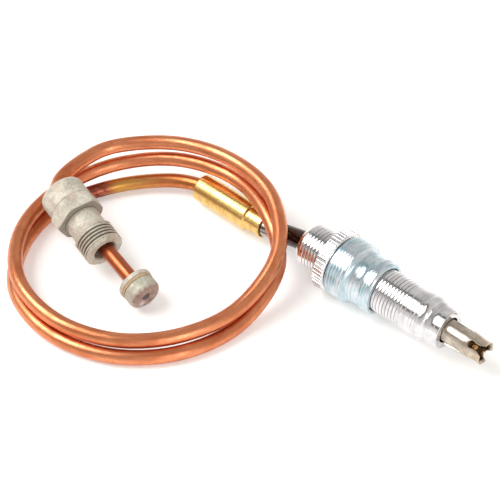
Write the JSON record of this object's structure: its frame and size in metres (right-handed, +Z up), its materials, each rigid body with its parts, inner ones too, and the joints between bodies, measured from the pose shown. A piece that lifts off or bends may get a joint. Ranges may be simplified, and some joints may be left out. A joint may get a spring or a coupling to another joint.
{
  "type": "thermocouple",
  "caption": "Gas pilot thermocouple: coiled copper lead with a screwed connector, joint sleeve, and a heated tip carrying a threaded sleeve, ring nut and adapter sleeve.",
  "frame": {"origin": "middle of the footprint, on the surface that the part lies on", "axes": "+X runs along the hot end towards its tip, +Z up from the surface"},
  "size_m": [0.0996, 0.0594, 0.0143],
  "materials": {
    "turned_aluminium": "bright turned, fine thread",
    "zinc_plate": "pale blue zinc plating, satin",
    "nickel_plate": "warm nickel plating, satin gloss",
    "weld_gold": "heat-tinted weld bead",
    "yellow_brass": "bright turned brass",
    "fibre": "tan pressed fibre",
    "tinned_metal": "dull tin plating over brass",
    "solder": "cold solder",
    "dark_alloy": "dark oxidised alloy, glossy",
    "ceramic_fibre": "off-white woven ceramic",
    "bare_copper": "bare drawn copper, slight tarnish"
  },
  "bodies": {
    "core": {"lead_tube": "bare_copper", "lead_insulation": "fibre", "lead_wire": "bare_copper", "lead_collar": "tinned_metal", "insulating_washer": "fibre", "contact_button": "tinned_metal", "contact_solder": "solder", "joint_sleeve": "yellow_brass", "splice_crimp": "yellow_brass", "splice_sleeving": "fibre", "element_sheath": "dark_alloy", "element_insulator": "ceramic_fibre", "element_wire": "nickel_plate", "hot_junction": "weld_gold", "tip_clip": "nickel_plate", "threaded_sleeve": "turned_aluminium"},
    "connector": {"connector_nut": "tinned_metal"},
    "adapter": {"adapter_sleeve": "zinc_plate"},
    "ring_nut": {"knurled_nut": "turned_aluminium"}
  },
  "joints": [
    {"name": "connector_slide", "type": "slide", "parent": "core", "child": "connector", "axis": [0.9683, -0.1707, -0.1822], "range_m": [0, 0.0085]},
    {"name": "adapter_slide", "type": "slide", "parent": "core", "child": "adapter", "axis": [1, 0, 0], "range_m": [-0.00556, 0.00635]},
    {"name": "ring_nut_turn", "type": "hinge", "parent": "adapter", "child": "ring_nut", "pos_m": [0.0239, 0.0228, 0.00695], "axis": [1, 0, 0], "range_deg": [-2530, 2890]}
  ],
  "couplings": [
    {"joint": "ring_nut_turn", "follows": "adapter_slide", "rad_per_m": 7915.8}
  ]
}
